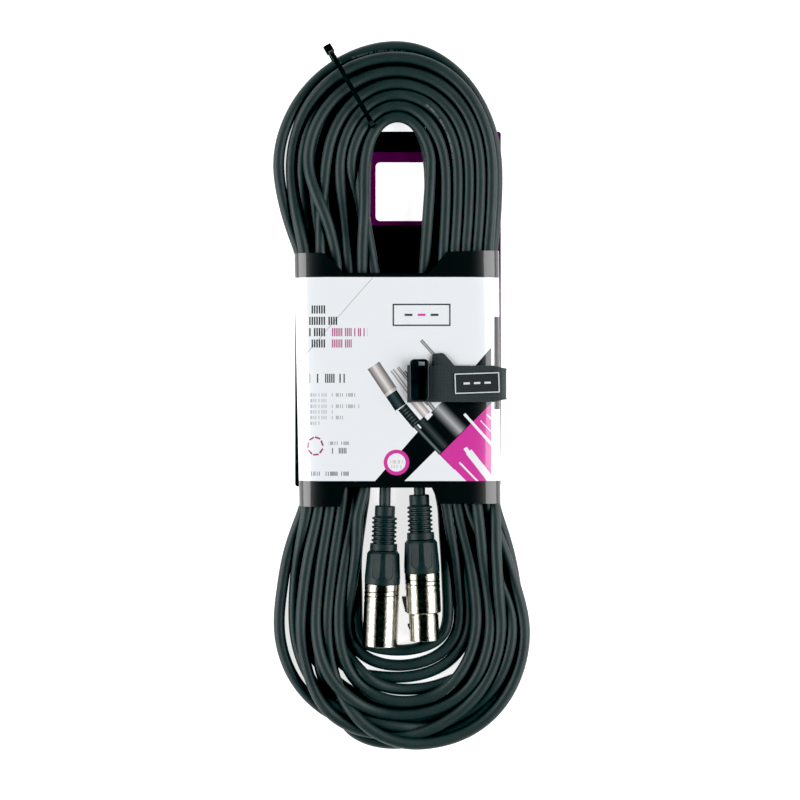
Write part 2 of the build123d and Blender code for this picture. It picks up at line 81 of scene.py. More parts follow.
# Each turn goes up the left leg, over the top, down the right leg and round the bottom.
# A row holds its place across the left leg at LEG_HEIGHTS, its height at the top, its place
# across the right leg at LEG_HEIGHTS from the top down, and its lowest point at the bottom.
# The first turn starts at the top of the left leg; the last ends at the top of the right leg.
LEG_HEIGHTS = (-122.0, -90.0, -57.0, 72.0, 95.0, 122.0)
TURNS = [
    ((-23.5,), 155.0,
     (17.5, 17.5, 14.5, 21.0, 26.4, 25.8), (1.0, -141.0)),
    ((-23.4, -24.6, -18.0, -25.0, -26.0, -29.5), 161.0,
     (28.4, 28.0, 25.9, 25.9, 34.5, 38.5), (-3.0, -155.0)),
    ((-43.0, -39.0, -34.0, -38.0, -40.0, -43.0), 173.0,
     (34.4, 34.2, 32.0, 32.1, 41.0, 47.0), (2.0, -168.5)),
    ((-52.0, -50.0, -46.5, -50.0, -52.0, -54.5), 185.0,
     (46.4, 45.8, 44.3, 44.5, 54.0, 60.0), (-4.0, -181.0)),
    ((-66.5, -61.4, -50.6, -53.4, -61.0, -67.1), 189.2,
     (52.2, 51.3, 49.8, 50.7, 60.0, 65.5), (-5.0, -189.2)),
    ((-47.5, -44.5, -40.5, -44.0, -46.0, -49.0), 179.0,
     (40.4, 40.1, 38.2, 38.3, 47.0, 53.5), (4.0, -161.5)),
    ((-37.0, -33.0, -27.5, -31.5, -33.5, -36.8), 167.0,
     (22.6, 22.8, 20.2, 22.9, 30.7, 34.5), (-2.0, -148.2)),
    ((-28.5, -24.5, -18.5, -21.5, -23.1, -26.9), 158.8,
     (24.6, 24.0, 23.0, 29.2, 38.8, 42.1), (2.0, -168.0)),
    ((-32.7, -28.3, -22.0, -26.6, -29.0, -32.7), 163.5,
     (31.8, 31.2, 29.7, 35.4, 48.9, 60.4), (5.0, -181.5)),
    ((-56.2, -55.4, -48.5, -50.0, -55.0, -58.2), 183.8,
     (50.6, 49.5, 47.0, 47.6, 52.0, 56.5), (-8.0, -184.4)),
    ((-53.8, -50.8, -44.5, -42.9, -43.0, -41.0), 169.5,
     (38.6, 37.6, 35.6, 49.0, 59.4, 67.3), (9.0, -188.5)),
    ((-40.3, -36.7, -30.2, -33.4, -39.6, -50.6), 176.8,
     (44.6, 43.5, 41.2, 41.6, 46.0, 50.0), (0.0, -176.0)),
    ((-46.5, -43.4, -37.0, -19.0, -18.8, -20.2), 154.5,
     (17.5,), None),
]

# The middle of the rounded top, the height at which the bottom's bends start, and how square
# the rounded ends are, where 2 is an ellipse.
TOP_MIDDLE = (-2.0, 122.0)
BOTTOM_START = -122.0
TOP_ROUNDNESS, BOTTOM_ROUNDNESS = 2.0, 2.2
POINTS_PER_QUARTER = 14

# Settling: the gap between points, the smoothing before it, the number of steps and how many
# pass between searches for close pairs, how far beyond touching and how many points apart
# such pairs may be, and each step's sag, push and kept share of the sideways shift.
POINT_GAP = 3.5
SMOOTHING_ROUNDS = 12
SETTLING_ROUNDS = 260
PAIR_REFRESH = 13
PAIR_REACH = 3.0
PAIR_APART = 6
SAG = 0.07
PUSH_SHARE = 0.18
KEPT_SHIFT = 0.97

# How far the turns lie above each other before they settle, and how many points at each end
# lead from the tails' height to that of the turns.
LOWEST_START, STACK_HEIGHT = 1.0, 8.5
LEAD_POINTS = 60

# What the cable lies on within the hank: its height, then where the cable starts to climb
# onto it and ends its descent along y, and how long each of those slopes is.
CARD_TOP_Z, SLEEVE_FLOOR_Z, STRAP_FLOOR_Z = 0.6, 1.1, 2.7
CARD_SPAN, SLEEVE_SPAN, STRAP_SPAN = (-54, 146, 6), (-64, 82, 6), (-16, 27, 12)

# The sleeve round the cable: its underside, its outer crown, its wall, where its rounded
# shoulders start, and how far they drop.
SLEEVE_BASE, SLEEVE_CROWN, SLEEVE_T = 0.55, 16.15, 0.45
SHOULDER_START, SHOULDER_DROP = 37.5, 8.0

# How far the sleeve's sides reach at its low end, and how that changes up to its high end,
# with the room left inside its walls and below its crown.
SLEEVE_LOW_Y, SLEEVE_LENGTH, SLEEVE_HIGH_Y = -60.5, 138.5, 78.0
SIDE_REACH, LEFT_WIDENING, RIGHT_NARROWING = 54.6, 2.7, 1.0
ROOM_IN_SLEEVE = 0.3
CROWN_ROOM = 0.5

# The connectors' middles as (x, z), the stretch of y beside each, and their radius.
CONNECTOR_PLACES = (((-10.3, 9.7), -137.0, -62.0), ((12.8, 9.7), -134.0, -58.0))
CONNECTOR_R = 9.6
CONNECTOR_ROOM = 0.2


def quarter(middle, across, along, roundness, start, end):
    """A quarter of a rounded end, whose half axes are across and along."""
    points = []
    for i in range(POINTS_PER_QUARTER + 1):
        angle = math.radians(start + (end - start) * i / POINTS_PER_QUARTER)
        c, s = math.cos(angle), math.sin(angle)
        x = math.copysign(abs(c) ** (2 / roundness), c) * across
        y = math.copysign(abs(s) ** (2 / roundness), s) * along
        points.append((middle[0] + x, middle[1] + y))
    return points


def turns_seen_from_above():
    """The wound part of the cable as (x, y) points, one turn after another."""
    points = []
    top_x, top_y = TOP_MIDDLE
    for number, (left, top, right, bottom) in enumerate(TURNS):
        if len(left) == len(LEG_HEIGHTS):
            points += list(zip(left, LEG_HEIGHTS))[1:-1]
        points += quarter(TOP_MIDDLE, top_x - left[-1], top - top_y, TOP_ROUNDNESS, 180, 90)
        points += quarter(TOP_MIDDLE, right[0] - top_x, top - top_y, TOP_ROUNDNESS, 90, 0)[1:]
        if bottom is None:
            break
        points += list(zip(right, LEG_HEIGHTS[::-1]))[1:-1]
        following = TURNS[number + 1][0][0]
        low_x, low_y = bottom
        middle = (low_x, BOTTOM_START)
        depth = BOTTOM_START - low_y
        points += quarter(middle, right[-1] - low_x, depth, BOTTOM_ROUNDNESS, 0, -90)
        points += quarter(middle, low_x - following, depth, BOTTOM_ROUNDNESS, -90, -180)[1:]
    return points


def evenly_spaced(points, gap):
    points = np.array(points, float)
    runs = np.linalg.norm(np.diff(points, axis=0), axis=1)
    along = np.concatenate([[0.0], np.cumsum(runs)])
    places = np.linspace(0.0, along[-1], int(round(along[-1] / gap)) + 1)
    return np.stack([np.interp(places, along, column) for column in points.T], axis=1)


def smoothed(line, rounds):
    line = line.copy()
    for _ in range(rounds):
        line[1:-1] = 0.5 * line[1:-1] + 0.25 * (line[:-2] + line[2:])
    return line


def near_pairs(points, reach, apart):
    """Index pairs of points within reach, seen from above, and more than apart places along."""
    first, second = [], []
    for start in range(0, len(points), 500):
        block = points[start:start + 500]
        near = np.abs(block[:, None, 0] - points[None, :, 0]) < reach
        near &= np.abs(block[:, None, 1] - points[None, :, 1]) < reach
        i, j = np.nonzero(near)
        i = i + start
        later = j > i + apart
        first.append(i[later])
        second.append(j[later])
    return np.concatenate(first), np.concatenate(second)


def ease(value, low, high):
    """0 below low, 1 above high, and smooth between them."""
    share = np.clip((value - low) / (high - low), 0, 1)
    return share * share * (3 - 2 * share)


def over_span(y, start, end, slope):
    """1 between start and end and 0 beyond them, with a slope within each end."""
    return ease(y, start, start + slope) * (1 - ease(y, end - slope, end))


def ground_under(flat):
    """Height of what lies under the cable: the floor, the card, the sleeve's back, the strap."""
    x, y = flat[:, 0], flat[:, 1]
    card = CARD_TOP_Z * over_span(y, *CARD_SPAN)
    sleeve = (SLEEVE_FLOOR_Z - CARD_TOP_Z) * over_span(y, *SLEEVE_SPAN)
    strap = (STRAP_FLOOR_Z - SLEEVE_FLOOR_Z) * over_span(y, *STRAP_SPAN) * (x > 0)
    return card + sleeve + strap


def inside_sleeve(line, span):
    """Moves points that lie within the sleeve's span in from its walls and its shoulders."""
    y = line[span, 1]
    share = (y - SLEEVE_LOW_Y) / SLEEVE_LENGTH
    gap = CABLE_R + SLEEVE_T + ROOM_IN_SLEEVE
    left = SIDE_REACH + LEFT_WIDENING * share - gap
    right = SIDE_REACH - RIGHT_NARROWING * share - gap
    reach = np.where(line[span, 0] < 0, left, right)
    x = np.clip(line[span, 0], -left, right)
    across = np.clip((np.abs(x) - SHOULDER_START) / (reach - SHOULDER_START), 0, 1)
    fall = (SHOULDER_DROP - gap) * (1 - np.sqrt(1 - across * across))
    line[span, 0] = x
    line[span, 2] = np.minimum(line[span, 2], SLEEVE_CROWN - CROWN_ROOM - gap - fall)
    return line


def push_from_connectors(line):
    """Keeps the cable's wound part out of the two connectors, which lie in the open middle."""
    room = CONNECTOR_R + CABLE_R + CONNECTOR_ROOM
    for middle, start_y, end_y in CONNECTOR_PLACES:
        beside = (line[:, 1] > start_y) & (line[:, 1] < end_y)
        gap = line[:, [0, 2]] - np.array(middle)
        far = np.linalg.norm(gap, axis=1)
        push = beside & (far < room)
        line[push, 0] += np.sign(gap[push, 0]) * (room - far[push])
    return line


def settle(line, held):
    """Lets the turns lie beside and on each other: they sag, push apart and stay smooth."""
    home = line[:, :2].copy()
    start = line.copy()
    ground = CABLE_R + ground_under(home)
    span = (home[:, 1] < SLEEVE_HIGH_Y) & (home[:, 1] > SLEEVE_LOW_Y + 0.5)
    for turn in range(SETTLING_ROUNDS):
        if turn % PAIR_REFRESH == 0:
            first, second = near_pairs(line, CABLE_D + PAIR_REACH, PAIR_APART)
        line[:, 2] -= SAG
        gap = line[second] - line[first]
        far = np.linalg.norm(gap, axis=1)
        touch = (far < CABLE_D) & (far > 0)
        push = gap[touch] * (PUSH_SHARE * (CABLE_D - far[touch]) / far[touch])[:, None]
        np.add.at(line, first[touch], -push)
        np.add.at(line, second[touch], push)
        line = push_from_connectors(line)
        line = inside_sleeve(line, span)
        moved = line[:, :2] - home
        line[:, :2] = home + KEPT_SHIFT * smoothed(moved, 3)
        line[:, 2] = smoothed(line[:, 2:], 2)[:, 0]
        line[:, 2] = np.maximum(line[:, 2], ground)
        line[held] = start[held]
    return line


def wound_cable():
    """The control points of the whole cable in metres, from the male connector to the female."""
    male = np.array(MALE_ROUTE) / MM
    female = np.array(FEMALE_ROUTE)[::-1] / MM
    turns = smoothed(evenly_spaced(turns_seen_from_above(), POINT_GAP), SMOOTHING_ROUNDS)
    male_line = evenly_spaced(male, POINT_GAP)
    female_line = evenly_spaced(female, POINT_GAP)
    layers = CABLE_R + LOWEST_START + STACK_HEIGHT * np.linspace(0, 1, len(turns))
    layers[:LEAD_POINTS] += (male[-1, 2] - layers[0]) * np.linspace(1, 0, LEAD_POINTS)
    layers[-LEAD_POINTS:] += (female[0, 2] - layers[-1]) * np.linspace(0, 1, LEAD_POINTS)
    line = np.vstack([male_line, np.column_stack([turns, layers]), female_line])
    held = np.zeros(len(line), bool)
    held[:len(male_line)] = True
    held[-len(female_line):] = True
    line = settle(line, held)
    wound = line[len(male_line):len(line) - len(female_line)]
    return np.vstack([male, wound[1:-1:2], female]) * MM


def add_cable():
    """The whole cable as one curve, joined to the pieces that go where it goes."""
    points = wound_cable()
    curve = bpy.data.curves.new("cable", "CURVE")
    curve.dimensions = "3D"
    spline = curve.splines.new("NURBS")
    spline.points.add(len(points) - 1)
    for point, place in zip(spline.points, points):
        point.co = (*place, 1.0)
    spline.order_u = 3
    spline.use_endpoint_u = True
    spline.resolution_u = 4
    curve.bevel_depth = CABLE_R * MM
    curve.bevel_resolution = 6
    cable = bpy.data.objects.new("cable", curve)
    bpy.context.collection.objects.link(cable)
    curve.materials.append(jacket_material())
    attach(cable, "root")
    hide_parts("cable_coil", "cable_tail_male", "cable_tail_female")


# ---- materials ----

class Paint:
    """A material under construction: short calls that add and join its nodes."""

    def __init__(self, name, base=(0.5, 0.5, 0.5), **shader):
        self.material = bpy.data.materials.new(name)
        self.material.use_nodes = True
        self.tree = self.material.node_tree
        self.shader = self.tree.nodes["Principled BSDF"]
        self.set("Base Color", (*base, 1.0))
        for key, value in shader.items():
            self.set(key.replace("_", " "), value)

    def set(self, key, value, node=None):
        socket = (node or self.shader).inputs[key]
        if isinstance(value, bpy.types.NodeSocket):
            self.tree.links.new(value, socket)
        else:
            socket.default_value = value

    def node(self, kind, inputs=None, **settings):
        node = self.tree.nodes.new("ShaderNode" + kind)
        for key, value in settings.items():
            setattr(node, key, value)
        for key, value in (inputs or {}).items():
            self.set(key, value, node)
        return node

    def math(self, operation, *values):
        inputs = dict(enumerate(values))
        return self.node("Math", inputs, operation=operation).outputs[0]

    def place(self):
        """The place on the object in millimetres."""
        where = self.node("TexCoord").outputs["Object"]
        return self.node("VectorMath", {0: where, "Scale": 1 / MM}, operation="SCALE").outputs[0]

    def noise(self, place, scale, detail=2.0, stretch=(1, 1, 1)):
        if stretch != (1, 1, 1):
            place = self.node("Mapping", {"Vector": place, "Scale": stretch}).outputs[0]
        return self.node("TexNoise", {"Vector": place, "Scale": scale, "Detail": detail}).outputs[0]

    def spread(self, value, low, high, start=0.3, end=0.7):
        """Value moved from start..end to low..high."""
        inputs = {"Value": value, "From Min": start, "From Max": end, "To Min": low, "To Max": high}
        return self.node("MapRange", inputs).outputs[0]

    def mix(self, factor, under, over):
        inputs = {0: factor, 6: self.colour(under), 7: self.colour(over)}
        return self.node("Mix", inputs, data_type="RGBA").outputs[2]

    def colour(self, value):
        return value if isinstance(value, bpy.types.NodeSocket) else (*value, 1.0)

    def bump(self, height, strength, distance=0.1, under=None):
        inputs = {"Height": height, "Strength": strength, "Distance": distance * MM}
        if under is not None:
            inputs["Normal"] = under
        return self.node("Bump", inputs).outputs[0]

    def box(self, place, middle, size, turn=0.0):
        """1 inside a rectangle seen from above, 0 outside, and the place within it."""
        inputs = {
            "Vector": place,
            "Location": (*middle, 0),
            "Rotation": (0, 0, math.radians(turn)),
            "Scale": (size[0] / 2, size[1] / 2, 1),
        }
        local = self.node("Mapping", inputs, vector_type="TEXTURE").outputs[0]
        split = self.node("SeparateXYZ", {0: local})
        x, y = split.outputs[0], split.outputs[1]
        larger = self.math("MAXIMUM", self.math("ABSOLUTE", x), self.math("ABSOLUTE", y))
        return self.math("LESS_THAN", larger, 1.0), x, y

    def lines_of_marks(self, place, left, top, width, rows, pitch, mark, ink):
        """Rows of plain upright marks that stand for small print; ink is how dense they are."""
        middle = (left + width / 2, top - rows * pitch / 2)
        inside, _, _ = self.box(place, middle, (width, rows * pitch))
        split = self.node("SeparateXYZ", {0: place})
        row = self.math("DIVIDE", self.math("SUBTRACT", top, split.outputs[1]), pitch)
        column = self.math("DIVIDE", split.outputs[0], mark)
        grid = self.node("CombineXYZ", {0: self.math("FLOOR", column), 1: self.math("FLOOR", row)})
        chance = self.node("TexWhiteNoise", {"Vector": grid.outputs[0]}).outputs[0]
        drawn = self.math("LESS_THAN", chance, ink)
        height = self.math("FRACT", row)
        drawn = self.math("MULTIPLY", drawn, self.math("GREATER_THAN", height, 0.28))
        stroke = self.math("GREATER_THAN", self.math("FRACT", column), 0.38)
        drawn = self.math("MULTIPLY", drawn, stroke)
        return self.math("MULTIPLY", drawn, inside)


# The length of one mark of the cable's print, and how many marks' lengths the print repeats in.
PRINT_MARK = 0.7
MARKS_PER_REPEAT = 310.0


def jacket_material():
    """Matt dark rubber with faint marks of print along one side."""
    paint = Paint("jacket", Specular_IOR_Level=0.4)
    place = paint.place()
    broad = paint.noise(place, 0.05, 3.0)
    fine = paint.noise(place, 1.6, 3.0)
    colour = paint.mix(paint.spread(broad, 0, 1), (0.013, 0.024, 0.0245), (0.021, 0.035, 0.035))
    turn = paint.node("TexCoord").outputs["UV"]
    split = paint.node("SeparateXYZ", {0: turn})
    run = paint.math("MULTIPLY", split.outputs[0], CABLE_LENGTH_M / MM / PRINT_MARK)
    wander = paint.node("TexNoise", {"W": split.outputs[0], "Scale": 24.0}, noise_dimensions="1D")
    side = paint.math("ADD", split.outputs[1], paint.math("MULTIPLY", wander.outputs[0], 2.0))
    off_line = paint.math("ABSOLUTE", paint.math("SUBTRACT", paint.math("FRACT", side), 0.5))
    printed = paint.math("LESS_THAN", off_line, 0.03)
    mark = paint.node("TexWhiteNoise", {"W": paint.math("FLOOR", run)}, noise_dimensions="1D")
    printed = paint.math("MULTIPLY", printed, paint.math("LESS_THAN", mark.outputs[0], 0.6))
    stretch = paint.math("FRACT", paint.math("DIVIDE", run, MARKS_PER_REPEAT))
    printed = paint.math("MULTIPLY", printed, paint.math("LESS_THAN", stretch, 0.3))
    colour = paint.mix(paint.math("MULTIPLY", printed, 0.18), colour, (0.45, 0.5, 0.5))
    paint.set("Base Color", colour)
    paint.set("Roughness", paint.spread(fine, 0.42, 0.56))
    paint.set("Normal", paint.bump(fine, 0.10, 0.12))
    return paint.material


# Painted shade of two shallow grooves near the rear of each shell, drawn as dark rings: their middle and
# how far the shell is turned.
SHELL_GROOVE_SHADE = ((-9.9, -106.2, 2.2), (-9.9, -108.6, 2.2), (12.2, -100.2, -2.2), (12.2, -102.6, -2.2))


def nickel_material():
    """Bright nickel plating with fine specks and scuffs, and on each shell two dark rings of painted
    shade where shallow grooves run round it.
    """
    paint = Paint("nickel", Metallic=1.0)
    place = paint.place()
    turned = paint.noise(place, 1.2, 4.0, stretch=(0.15, 3.0, 0.15))
    scuffs = paint.noise(place, 0.5, 6.0)
    specks = paint.noise(place, 3.2, 4.0)
    tint = paint.mix(paint.spread(scuffs, 0, 1), (0.30, 0.28, 0.24), (0.55, 0.53, 0.47))
    tint = paint.mix(paint.spread(specks, 0.6, 0.0, 0.32, 0.46), tint, (0.10, 0.095, 0.085))
    for x, y, turn in SHELL_GROOVE_SHADE:
        # Painted shade: each dark ring darkens the plating where a shallow groove runs round the shell.
        ring = paint.box(place, (x, y), (20.0, 0.55), turn)[0]
        tint = paint.mix(ring, tint, (0.07, 0.066, 0.06))
    paint.set("Base Color", tint)
    paint.set("Roughness", paint.spread(turned, 0.06, 0.12))
    paint.set("Normal", paint.bump(specks, 0.6, 0.10, paint.bump(turned, 0.15, 0.05)))
    return paint.material


def moulded_material(name, dark, light, rough, grain=0.12, scale=2.2):
    """Moulded plastic or rubber with a fine grain and slight unevenness of tone."""
    paint = Paint(name, Specular_IOR_Level=0.32)
    place = paint.place()
    broad = paint.noise(place, 0.12, 3.0)
    fine = paint.noise(place, scale, 3.0)
    paint.set("Base Color", paint.mix(paint.spread(broad, 0, 1), dark, light))
    paint.set("Roughness", paint.spread(fine, rough - 0.06, rough + 0.08))
    paint.set("Normal", paint.bump(fine, grain, 0.15))
    return paint.material


def metal_material(name, dark, light, rough):
    """Bare or plated metal with fine drawn lines."""
    paint = Paint(name, Metallic=1.0)
    place = paint.place()
    drawn = paint.noise(place, 1.5, 4.0, stretch=(2.5, 0.2, 2.5))
    paint.set("Base Color", paint.mix(paint.spread(drawn, 0, 1), dark, light))
    paint.set("Roughness", paint.spread(drawn, rough - 0.05, rough + 0.08))
    paint.set("Normal", paint.bump(drawn, 0.08, 0.05))
    return paint.material


WHITE = (0.80, 0.83, 0.86)
BLACK = (0.007, 0.006, 0.006)
MAGENTA = (0.62, 0.045, 0.33)
GREY = (0.30, 0.31, 0.33)
PURPLE = (0.13, 0.014, 0.10)

# The bar of the picture below that is drawn with ribs, counted from 0.
RIBBED_BAR = 10


def plug_picture(paint, place, colour):
    """A small printed picture of plugs, as shaded slanting bars."""
    bars = [
        # middle, (width, length), turn, dark tone, light tone
        ((7.0, 4.5), (1.5, 26.0), 39.0, (0.10, 0.09, 0.09), (0.75, 0.73, 0.72)),
        ((11.5, 0.5), (2.0, 30.0), 38.0, (0.06, 0.06, 0.06), (0.55, 0.54, 0.54)),
        ((3.0, 3.5), (2.2, 24.0), 37.0, (0.25, 0.22, 0.22), (0.85, 0.84, 0.83)),
        ((16.0, 24.0), (1.7, 14.0), 42.0, (0.10, 0.10, 0.10), (0.50, 0.50, 0.50)),
        ((10.5, -6.5), (5.0, 12.0), 40.0, (0.35, 0.30, 0.30), (0.85, 0.80, 0.79)),
        ((17.8, -21.0), (5.0, 20.0), 42.0, (0.008, 0.010, 0.012), (0.05, 0.06, 0.06)),
        ((26.4, -13.5), (8.8, 19.0), 44.0, (0.02, 0.02, 0.025), (0.42, 0.43, 0.44)),
        ((-9.6, 8.5), (7.6, 17.0), 33.5, (0.16, 0.14, 0.14), (0.78, 0.75, 0.73)),
        ((-5.1, 1.4), (7.2, 1.6), 33.5, (0.45, 0.38, 0.36), (0.90, 0.86, 0.84)),
        ((-2.2, -3.2), (6.8, 9.0), 33.5, (0.006, 0.010, 0.013), (0.05, 0.07, 0.08)),
        ((5.2, -11.6), (5.6, 12.5), 40.0, (0.006, 0.009, 0.010), (0.10, 0.12, 0.12)),
        ((14.8, -24.2), (2.2, 20.0), 43.0, (0.010, 0.016, 0.018), (0.16, 0.20, 0.20)),
    ]
    for number, (middle, size, turn, dark, light) in enumerate(bars):
        inside, across, along = paint.box(place, middle, size, turn)
        shade = paint.math("POWER", paint.math("SUBTRACT", 1.0, paint.math("ABSOLUTE", across)), 1.6)
        if number == RIBBED_BAR:
            ribs = paint.math("GREATER_THAN", paint.math("SINE", paint.math("MULTIPLY", along, 22.0)), 0)
            shade = paint.math("MULTIPLY", shade, ribs)
        colour = paint.mix(inside, colour, paint.mix(shade, dark, light))
    return colour


def sleeve_material():
    """Laminated card: white panel, black bands, magenta corner, pictures and plain marks."""
    paint = Paint("sleeve_print", Roughness=0.34, Coat_Weight=1.0, Coat_Roughness=0.045,
                  Coat_IOR=1.5)
    place = paint.place()
    split = paint.node("SeparateXYZ", {0: place})
    x, y = split.outputs[0], split.outputs[1]
    colour = WHITE

    def lay(mask, ink):
        nonlocal colour
        colour = paint.mix(mask, colour, ink)

    lay(paint.box(place, (-35.3, 39.3), (0.28, 62.2), -41.2)[0], GREY)
    lay(paint.box(place, (32.6, -15.0), (28.0, 132.0), -41.0)[0], BLACK)
    lay(paint.box(place, (18.9, -57.0), (38.0, 38.0), 45.0)[0], WHITE)
    colour = plug_picture(paint, place, colour)
    lay(paint.box(place, (62.0, -32.4), (57.3, 57.3), 45.0)[0], MAGENTA)
    streaks = [
        ((42.6, -19.4), (1.5, 24.0), 42.0), ((37.0, -41.8), (1.0, 14.5), 44.0),
        ((46.4, -17.3), (0.5, 9.0), 44.0), ((48.6, -12.6), (1.0, 5.0), 44.0),
        ((43.4, -39.0), (3.8, 21.0), 38.0), ((40.0, -35.6), (2.2, 17.0), 36.0),
        ((46.3, -42.5), (3.4, 9.0), 35.0),
    ]
    for middle, size, turn in streaks:
        lay(paint.box(place, middle, size, turn)[0], WHITE)
    side = paint.math("GREATER_THAN", x, 49.2)
    lay(side, WHITE)
    lay(paint.math("MULTIPLY", side, paint.box(place, (54.6, 17.0), (7.6, 50.0))[0]), BLACK)

    middle = (-1.9, -36.6, 0)
    far = paint.node("VectorMath", {0: place, 1: middle}, operation="SUBTRACT").outputs[0]
    far_split = paint.node("SeparateXYZ", {0: far})
    flat = paint.node("CombineXYZ", {0: far_split.outputs[0], 1: far_split.outputs[1]}).outputs[0]
    radius = paint.node("VectorMath", {0: flat}, operation="LENGTH").outputs["Value"]
    lay(paint.math("LESS_THAN", radius, 6.9), MAGENTA)
    lay(paint.math("LESS_THAN", radius, 4.9), WHITE)
    lay(paint.lines_of_marks(place, -5.2, -34.6, 6.8, 2, 2.6, 0.7, 0.6), (0.55, 0.5, 0.53))

    lay(paint.lines_of_marks(place, -49.0, 49.6, 9.0, 4, 6.1, 1.3, 0.8), (0.02, 0.02, 0.025))
    lay(paint.lines_of_marks(place, -40.0, 43.5, 8.0, 1, 6.1, 1.3, 0.8), (0.02, 0.02, 0.025))
    lay(paint.lines_of_marks(place, -38.0, 37.4, 20.5, 1, 6.1, 1.0, 0.75), (0.42, 0.06, 0.22))
    lay(paint.lines_of_marks(place, -38.0, 31.3, 12.5, 1, 6.1, 1.0, 0.75), (0.42, 0.06, 0.22))
    lay(paint.lines_of_marks(place, -48.7, 13.0, 19.0, 1, 6.8, 1.1, 0.6), (0.02, 0.025, 0.03))
    for row, width in enumerate((25.5, 9.0, 28.5, 14.0, 19.0, 6.0)):
        top = 1.4 - 3.05 * row
        lay(paint.lines_of_marks(place, -48.7, top, width, 1, 2.6, 0.55, 0.5), (0.24, 0.25, 0.27))
    lay(paint.lines_of_marks(place, -48.2, -40.6, 21.0, 1, 3.2, 0.6, 0.6), (0.05, 0.05, 0.06))
    for number in range(7):
        angle = math.radians(20 + 51 * number)
        spot = (-45.6 + 3.9 * math.cos(angle), -27.8 + 4.6 * math.sin(angle))
        lay(paint.box(place, spot, (0.9, 3.0), math.degrees(angle))[0], (0.33, 0.02, 0.13))
    lay(paint.lines_of_marks(place, -38.5, -24.6, 11.0, 1, 2.6, 0.6, 0.55), (0.2, 0.2, 0.22))
    lay(paint.lines_of_marks(place, -38.5, -27.6, 11.0, 1, 4.2, 0.9, 0.5), (0.1, 0.1, 0.12))

    lay(paint.box(place, (11.6, 42.8), (31.2, 12.0))[0], (0.04, 0.05, 0.055))
    lay(paint.box(place, (11.6, 42.8), (29.6, 10.4))[0], WHITE)
    for number in range(3):
        ink = MAGENTA if number == 1 else (0.04, 0.05, 0.055)
        lay(paint.box(place, (4.6 + 7.0 * number, 42.8), (4.2, 1.2))[0], ink)

    lay(paint.math("GREATER_THAN", y, 63.1), BLACK)
    lay(paint.math("LESS_THAN", y, -46.6), BLACK)
    grain = paint.noise(place, 0.09, 2.0)
    paint.set("Base Color", colour)
    paint.set("Coat Normal", paint.bump(grain, 0.03, 1.2))
    return paint.material


def card_material():
    """Printed board: black front, purple round the hole; pale back with a dark edge and marks."""
    paint = Paint("printed_board", Roughness=0.3, Coat_Weight=0.6, Coat_Roughness=0.08)
    place = paint.place()
    split = paint.node("SeparateXYZ", {0: place})
    fibre = paint.noise(place, 0.8, 4.0)
    front = paint.mix(paint.spread(fibre, 0, 1), (0.006, 0.006, 0.007), (0.011, 0.010, 0.012))
    front = paint.mix(paint.box(place, (2.9, 112.4), (44.0, 40.0))[0], front, PURPLE)
    front = paint.mix(paint.math("GREATER_THAN", split.outputs[0], 51.0), front, PURPLE)
    back = paint.mix(paint.spread(fibre, 0, 1), (0.50, 0.49, 0.47), (0.60, 0.59, 0.57))
    back = paint.mix(paint.box(place, (-1.0, 47.0), (108.0, 190.0))[0], (0.02, 0.02, 0.022), back)
    for row in range(9):
        top, width = 78.0 - 8.0 * row, 82.0 - 7.0 * (row % 3)
        marks = paint.lines_of_marks(place, -42.0, top, width, 1, 3.4, 0.8, 0.55)
        back = paint.mix(marks, back, (0.10, 0.10, 0.11))
    facing_back = paint.math("LESS_THAN", split.outputs[2], 0.05)
    paint.set("Base Color", paint.mix(facing_back, front, back))
    paint.set("Normal", paint.bump(fibre, 0.06, 0.1))
    return paint.material


def webbing_material():
    """Black hook-and-loop webbing: a fine weave under a short fuzz."""
    paint = Paint("webbing", Roughness=0.85, Sheen_Weight=0.15, Sheen_Roughness=0.5)
    place = paint.place()
    warp = paint.node("TexWave", {"Vector": place, "Scale": 0.42, "Distortion": 0.6, "Detail": 1.0},
                      bands_direction="Y").outputs[1]
    weft = paint.node("TexWave", {"Vector": place, "Scale": 0.42, "Distortion": 0.6, "Detail": 1.0},
                      bands_direction="X").outputs[1]
    fuzz = paint.noise(place, 3.5, 4.0)
    weave = paint.math("MULTIPLY", warp, weft)
    height = paint.math("ADD", weave, paint.math("MULTIPLY", fuzz, 1.3))
    tone = paint.spread(height, 0, 1, 0.4, 1.4)
    paint.set("Base Color", paint.mix(tone, (0.010, 0.014, 0.015), (0.032, 0.044, 0.046)))
    paint.set("Normal", paint.bump(height, 0.6, 0.25))
    return paint.material


def label_material():
    """A woven black patch with a pale frame and plain marks inside it."""
    paint = Paint("patch", Roughness=0.55)
    place = paint.place()
    thread = paint.noise(place, 2.6, 3.0)
    ground = paint.mix(paint.spread(thread, 0, 1), (0.008, 0.010, 0.011), (0.020, 0.024, 0.025))
    middle = (41.4, 6.1)
    pale = (0.62, 0.66, 0.67)
    colour = paint.mix(paint.box(place, middle, (24.0, 10.9), 2.0)[0], ground, pale)
    colour = paint.mix(paint.box(place, middle, (22.9, 9.8), 2.0)[0], colour, ground)
    for number in range(3):
        spot = (middle[0] - 5.6 + 5.6 * number, middle[1] + 0.2 * (number - 1))
        colour = paint.mix(paint.box(place, spot, (3.4, 1.1), 2.0)[0], colour, pale)
    paint.set("Base Color", colour)
    paint.set("Normal", paint.bump(thread, 0.3, 0.15))
    return paint.material


